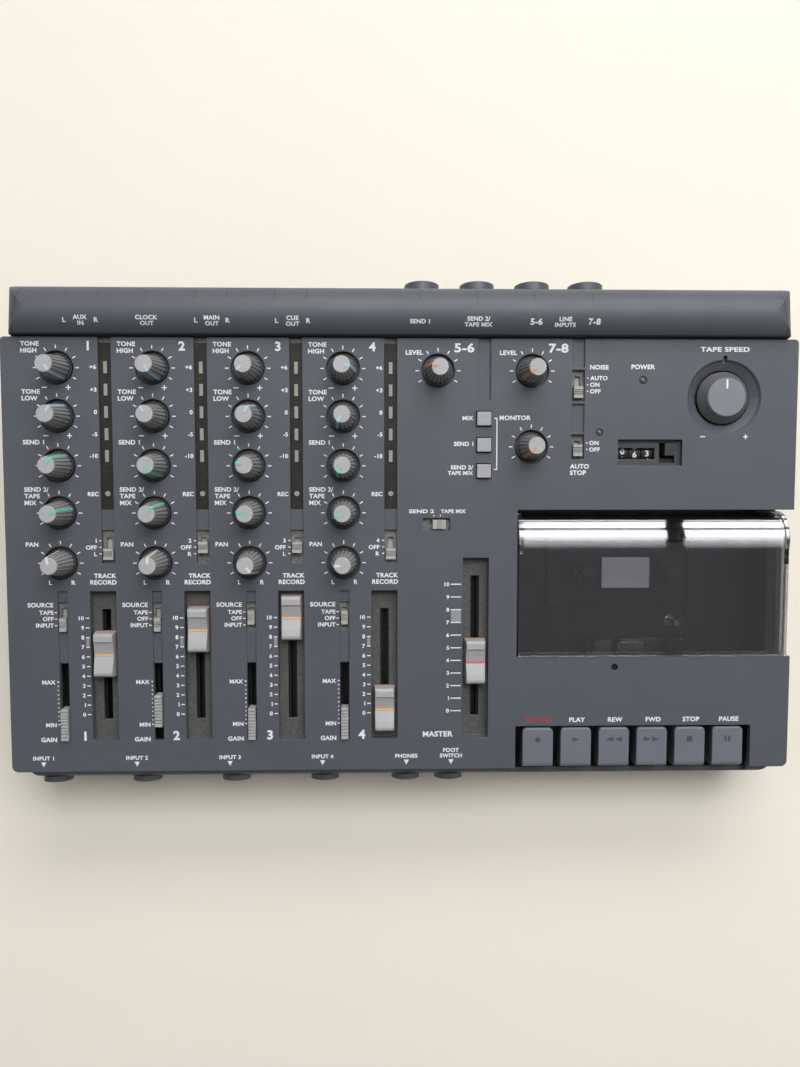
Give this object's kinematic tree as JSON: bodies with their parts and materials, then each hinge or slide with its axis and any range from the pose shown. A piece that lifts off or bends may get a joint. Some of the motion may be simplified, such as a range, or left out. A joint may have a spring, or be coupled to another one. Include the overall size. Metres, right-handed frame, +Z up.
{
  "type": "four track cassette recorder",
  "caption": "Table-top four-channel mixer and cassette recorder with knobs, faders, slide switches, piano keys, hinged smoked lid, and jack and phono sockets.",
  "frame": {"origin": "centre of the whole recorder's base, on the table under its feet", "axes": "+X to the recorder's right, +Y to its back, +Z up; the control panel rises 6.5 degrees towards +Y"},
  "size_m": [0.375, 0.2432, 0.0851],
  "materials": {
    "case_plastic": "matte, fine texture",
    "grey_caps": "matte",
    "knob_grey": "matte",
    "key_plastic": "matte",
    "dark_strip": "satin",
    "black_plastic": "matte",
    "smoked_lid": "clear, polished",
    "deck_metal": "satin",
    "drive_metal": "brushed",
    "circuit_board": "lacquered",
    "rubber": "matte"
  },
  "bodies": {
    "case": {"top_case": "case_plastic", "bottom_case": "case_plastic", "rear_cover": "case_plastic", "indicators": "dark_strip", "jack_sockets": "black_plastic", "mixer_board": "circuit_board", "deck_frame": "deck_metal", "tape_drive": "drive_metal", "feet_and_screws": "rubber"},
    "eq_high_knob_1": {"eq_high_knob_1": "knob_grey"},
    "eq_high_knob_2": {"eq_high_knob_2": "knob_grey"},
    "eq_high_knob_3": {"eq_high_knob_3": "knob_grey"},
    "eq_high_knob_4": {"eq_high_knob_4": "knob_grey"},
    "eq_low_knob_1": {"eq_low_knob_1": "knob_grey"},
    "eq_low_knob_2": {"eq_low_knob_2": "knob_grey"},
    "eq_low_knob_3": {"eq_low_knob_3": "knob_grey"},
    "eq_low_knob_4": {"eq_low_knob_4": "knob_grey"},
    "effect_1_knob_1": {"effect_1_knob_1": "knob_grey"},
    "effect_1_knob_2": {"effect_1_knob_2": "knob_grey"},
    "effect_1_knob_3": {"effect_1_knob_3": "knob_grey"},
    "effect_1_knob_4": {"effect_1_knob_4": "knob_grey"},
    "effect_2_knob_1": {"effect_2_knob_1": "knob_grey"},
    "effect_2_knob_2": {"effect_2_knob_2": "knob_grey"},
    "effect_2_knob_3": {"effect_2_knob_3": "knob_grey"},
    "effect_2_knob_4": {"effect_2_knob_4": "knob_grey"},
    "pan_knob_1": {"pan_knob_1": "knob_grey"},
    "pan_knob_2": {"pan_knob_2": "knob_grey"},
    "pan_knob_3": {"pan_knob_3": "knob_grey"},
    "pan_knob_4": {"pan_knob_4": "knob_grey"},
    "level_56_knob": {"level_56_knob": "knob_grey"},
    "level_78_knob": {"level_78_knob": "knob_grey"},
    "monitor_knob": {"monitor_knob": "knob_grey"},
    "pitch_knob": {"pitch_knob": "knob_grey"},
    "fader_1": {"fader_1": "grey_caps"},
    "fader_2": {"fader_2": "grey_caps"},
    "fader_3": {"fader_3": "grey_caps"},
    "fader_4": {"fader_4": "grey_caps"},
    "master_fader": {"master_fader": "grey_caps"},
    "trim_1": {"trim_1": "grey_caps"},
    "trim_2": {"trim_2": "grey_caps"},
    "trim_3": {"trim_3": "grey_caps"},
    "trim_4": {"trim_4": "grey_caps"},
    "effect_cue_switch": {"effect_cue_switch": "grey_caps"},
    "noise_switch": {"noise_switch": "grey_caps"},
    "zero_return_switch": {"zero_return_switch": "grey_caps"},
    "channel_switch_levers": {"channel_switch_levers": "grey_caps"},
    "monitor_button_1": {"monitor_button_1": "grey_caps"},
    "monitor_button_2": {"monitor_button_2": "grey_caps"},
    "monitor_button_3": {"monitor_button_3": "grey_caps"},
    "counter_reset": {"counter_reset": "black_plastic"},
    "key_record": {"key_record": "key_plastic"},
    "key_play": {"key_play": "key_plastic"},
    "key_rewind": {"key_rewind": "key_plastic"},
    "key_forward": {"key_forward": "key_plastic"},
    "key_stop": {"key_stop": "key_plastic"},
    "key_pause": {"key_pause": "key_plastic"},
    "tape_lid": {"tape_lid": "smoked_lid"},
    "head_sled": {"head_sled": "drive_metal"},
    "supply_spindle": {"supply_spindle": "black_plastic"},
    "takeup_spindle": {"takeup_spindle": "black_plastic"}
  },
  "joints": [
    {"name": "eq_high_1_turn", "type": "hinge", "parent": "case", "child": "eq_high_knob_1", "pos_m": [-0.1619, 0.07688, 0.06974], "axis": [0, 0.1132, -0.9936], "range_deg": [-297, 3]},
    {"name": "eq_high_2_turn", "type": "hinge", "parent": "case", "child": "eq_high_knob_2", "pos_m": [-0.11745, 0.07688, 0.06974], "axis": [0, 0.1132, -0.9936], "range_deg": [-300, 0]},
    {"name": "eq_high_3_turn", "type": "hinge", "parent": "case", "child": "eq_high_knob_3", "pos_m": [-0.073, 0.07688, 0.06974], "axis": [0, 0.1132, -0.9936], "range_deg": [-18, 282]},
    {"name": "eq_high_4_turn", "type": "hinge", "parent": "case", "child": "eq_high_knob_4", "pos_m": [-0.02855, 0.07688, 0.06974], "axis": [0, 0.1132, -0.9936], "range_deg": [-250, 50]},
    {"name": "eq_low_1_turn", "type": "hinge", "parent": "case", "child": "eq_low_knob_1", "pos_m": [-0.1619, 0.05462, 0.0672], "axis": [0, 0.1132, -0.9936], "range_deg": [-180, 120]},
    {"name": "eq_low_2_turn", "type": "hinge", "parent": "case", "child": "eq_low_knob_2", "pos_m": [-0.11745, 0.05462, 0.0672], "axis": [0, 0.1132, -0.9936], "range_deg": [-123, 177]},
    {"name": "eq_low_3_turn", "type": "hinge", "parent": "case", "child": "eq_low_knob_3", "pos_m": [-0.073, 0.05462, 0.0672], "axis": [0, 0.1132, -0.9936], "range_deg": [-180, 120]},
    {"name": "eq_low_4_turn", "type": "hinge", "parent": "case", "child": "eq_low_knob_4", "pos_m": [-0.02855, 0.05462, 0.0672], "axis": [0, 0.1132, -0.9936], "range_deg": [0, 300]},
    {"name": "effect_1_1_turn", "type": "hinge", "parent": "case", "child": "effect_1_knob_1", "pos_m": [-0.1619, 0.03167, 0.06458], "axis": [0, 0.1132, -0.9936], "range_deg": [-183, 117]},
    {"name": "effect_1_2_turn", "type": "hinge", "parent": "case", "child": "effect_1_knob_2", "pos_m": [-0.11745, 0.03167, 0.06458], "axis": [0, 0.1132, -0.9936], "range_deg": [-296, 4]},
    {"name": "effect_1_3_turn", "type": "hinge", "parent": "case", "child": "effect_1_knob_3", "pos_m": [-0.073, 0.03167, 0.06458], "axis": [0, 0.1132, -0.9936], "range_deg": [-75, 225]},
    {"name": "effect_1_4_turn", "type": "hinge", "parent": "case", "child": "effect_1_knob_4", "pos_m": [-0.02855, 0.03167, 0.06458], "axis": [0, 0.1132, -0.9936], "range_deg": [0, 300]},
    {"name": "effect_2_1_turn", "type": "hinge", "parent": "case", "child": "effect_2_knob_1", "pos_m": [-0.1619, 0.00961, 0.06207], "axis": [0, 0.1132, -0.9936], "range_deg": [-220, 80]},
    {"name": "effect_2_2_turn", "type": "hinge", "parent": "case", "child": "effect_2_knob_2", "pos_m": [-0.11745, 0.00961, 0.06207], "axis": [0, 0.1132, -0.9936], "range_deg": [-190, 110]},
    {"name": "effect_2_3_turn", "type": "hinge", "parent": "case", "child": "effect_2_knob_3", "pos_m": [-0.073, 0.00961, 0.06207], "axis": [0, 0.1132, -0.9936], "range_deg": [-75, 225]},
    {"name": "effect_2_4_turn", "type": "hinge", "parent": "case", "child": "effect_2_knob_4", "pos_m": [-0.02855, 0.00961, 0.06207], "axis": [0, 0.1132, -0.9936], "range_deg": [-35, 265]},
    {"name": "pan_1_turn", "type": "hinge", "parent": "case", "child": "pan_knob_1", "pos_m": [-0.1619, -0.01393, 0.05939], "axis": [0, 0.1132, -0.9936], "range_deg": [-135, 165]},
    {"name": "pan_2_turn", "type": "hinge", "parent": "case", "child": "pan_knob_2", "pos_m": [-0.11745, -0.01393, 0.05939], "axis": [0, 0.1132, -0.9936], "range_deg": [-155, 145]},
    {"name": "pan_3_turn", "type": "hinge", "parent": "case", "child": "pan_knob_3", "pos_m": [-0.073, -0.01393, 0.05939], "axis": [0, 0.1132, -0.9936], "range_deg": [-294, 6]},
    {"name": "pan_4_turn", "type": "hinge", "parent": "case", "child": "pan_knob_4", "pos_m": [-0.02855, -0.01393, 0.05939], "axis": [0, 0.1132, -0.9936], "range_deg": [-55, 245]},
    {"name": "level_56_turn", "type": "hinge", "parent": "case", "child": "level_56_knob", "pos_m": [0.0161, 0.07598, 0.06963], "axis": [0, 0.1132, -0.9936], "range_deg": [-80, 220]},
    {"name": "level_78_turn", "type": "hinge", "parent": "case", "child": "level_78_knob", "pos_m": [0.0606, 0.07598, 0.06963], "axis": [0, 0.1132, -0.9936], "range_deg": [-22, 278]},
    {"name": "monitor_turn", "type": "hinge", "parent": "case", "child": "monitor_knob", "pos_m": [0.0604, 0.04061, 0.0656], "axis": [0, 0.1132, -0.9936], "range_deg": [-4, 296]},
    {"name": "pitch_turn", "type": "hinge", "parent": "case", "child": "pitch_knob", "pos_m": [0.1524, 0.06386, 0.06825], "axis": [0, 0.1132, -0.9936], "range_deg": [-150, 150]},
    {"name": "fader_1_travel", "type": "slide", "parent": "case", "child": "fader_1", "axis": [0, 0.9936, 0.1132], "range_m": [-0.0288, 0.0177]},
    {"name": "fader_2_travel", "type": "slide", "parent": "case", "child": "fader_2", "axis": [0, 0.9936, 0.1132], "range_m": [-0.0405, 0.006]},
    {"name": "fader_3_travel", "type": "slide", "parent": "case", "child": "fader_3", "axis": [0, 0.9936, 0.1132], "range_m": [-0.0462, 0.0003]},
    {"name": "fader_4_travel", "type": "slide", "parent": "case", "child": "fader_4", "axis": [0, 0.9936, 0.1132], "range_m": [-0.0017, 0.0448]},
    {"name": "master_fader_travel", "type": "slide", "parent": "case", "child": "master_fader", "axis": [0, 0.9936, 0.1132], "range_m": [-0.0237, 0.0377]},
    {"name": "trim_1_travel", "type": "slide", "parent": "case", "child": "trim_1", "axis": [0, 0.9936, 0.1132], "range_m": [0, 0.0206]},
    {"name": "trim_2_travel", "type": "slide", "parent": "case", "child": "trim_2", "axis": [0, 0.9936, 0.1132], "range_m": [-0.0065, 0.0141]},
    {"name": "trim_3_travel", "type": "slide", "parent": "case", "child": "trim_3", "axis": [0, 0.9936, 0.1132], "range_m": [0, 0.0206]},
    {"name": "trim_4_travel", "type": "slide", "parent": "case", "child": "trim_4", "axis": [0, 0.9936, 0.1132], "range_m": [0, 0.0206]},
    {"name": "effect_cue_slide", "type": "slide", "parent": "case", "child": "effect_cue_switch", "axis": [-1, 0, 0], "range_m": [0, 0.0031]},
    {"name": "noise_slide", "type": "slide", "parent": "case", "child": "noise_switch", "axis": [0, 0.9936, 0.1132], "range_m": [0, 0.0062]},
    {"name": "zero_return_slide", "type": "slide", "parent": "case", "child": "zero_return_switch", "axis": [0, 0.9936, 0.1132], "range_m": [0, 0.0031]},
    {"name": "channel_switch_slide", "type": "slide", "parent": "case", "child": "channel_switch_levers", "axis": [0, 0.9936, 0.1132], "range_m": [0, 0.0031]},
    {"name": "monitor_button_1_press", "type": "slide", "parent": "case", "child": "monitor_button_1", "axis": [0, 0.1132, -0.9936], "range_m": [0, 0.0025], "stiffness_N_per_m": 120, "springref_m": -0.001},
    {"name": "monitor_button_2_press", "type": "slide", "parent": "case", "child": "monitor_button_2", "axis": [0, 0.1132, -0.9936], "range_m": [0, 0.0025], "stiffness_N_per_m": 120, "springref_m": -0.001},
    {"name": "monitor_button_3_press", "type": "slide", "parent": "case", "child": "monitor_button_3", "axis": [0, 0.1132, -0.9936], "range_m": [0, 0.0025], "stiffness_N_per_m": 120, "springref_m": -0.001},
    {"name": "counter_reset_press", "type": "slide", "parent": "case", "child": "counter_reset", "axis": [0, 0.1132, -0.9936], "range_m": [0, 0.002], "stiffness_N_per_m": 120, "springref_m": -0.001},
    {"name": "key_record_press", "type": "hinge", "parent": "case", "child": "key_record", "pos_m": [-0.1875, -0.07455, 0.03839], "axis": [1, 0, 0], "range_deg": [0, 9], "stiffness_Nm_per_rad": 0.05, "springref_deg": -5.73},
    {"name": "key_play_press", "type": "hinge", "parent": "case", "child": "key_play", "pos_m": [-0.1875, -0.07455, 0.03839], "axis": [1, 0, 0], "range_deg": [0, 9], "stiffness_Nm_per_rad": 0.05, "springref_deg": -5.73},
    {"name": "key_rewind_press", "type": "hinge", "parent": "case", "child": "key_rewind", "pos_m": [-0.1875, -0.07455, 0.03839], "axis": [1, 0, 0], "range_deg": [0, 9], "stiffness_Nm_per_rad": 0.05, "springref_deg": -5.73},
    {"name": "key_forward_press", "type": "hinge", "parent": "case", "child": "key_forward", "pos_m": [-0.1875, -0.07455, 0.03839], "axis": [1, 0, 0], "range_deg": [0, 9], "stiffness_Nm_per_rad": 0.05, "springref_deg": -5.73},
    {"name": "key_stop_press", "type": "hinge", "parent": "case", "child": "key_stop", "pos_m": [-0.1875, -0.07455, 0.03839], "axis": [1, 0, 0], "range_deg": [0, 9], "stiffness_Nm_per_rad": 0.05, "springref_deg": -5.73},
    {"name": "key_pause_press", "type": "hinge", "parent": "case", "child": "key_pause", "pos_m": [-0.1875, -0.07455, 0.03839], "axis": [1, 0, 0], "range_deg": [0, 9], "stiffness_Nm_per_rad": 0.05, "springref_deg": -5.73},
    {"name": "lid_open", "type": "hinge", "parent": "case", "child": "tape_lid", "pos_m": [-0.1875, -0.00177, 0.0489], "axis": [-1, 0, 0], "range_deg": [0, 75]},
    {"name": "head_sled_advance", "type": "slide", "parent": "case", "child": "head_sled", "axis": [0, 0.9936, 0.1132], "range_m": [0, 0.006]},
    {"name": "supply_spindle_spin", "type": "hinge", "parent": "case", "child": "supply_spindle", "pos_m": [0.09215, -0.02119, 0.05856], "axis": [0, -0.1132, 0.9936], "continuous": true},
    {"name": "takeup_spindle_spin", "type": "hinge", "parent": "case", "child": "takeup_spindle", "pos_m": [0.13465, -0.02119, 0.05856], "axis": [0, -0.1132, 0.9936], "continuous": true}
  ],
  "couplings": [
    {"joint": "key_play_press", "follows": "head_sled_advance", "rad_per_m": 26.17}
  ]
}
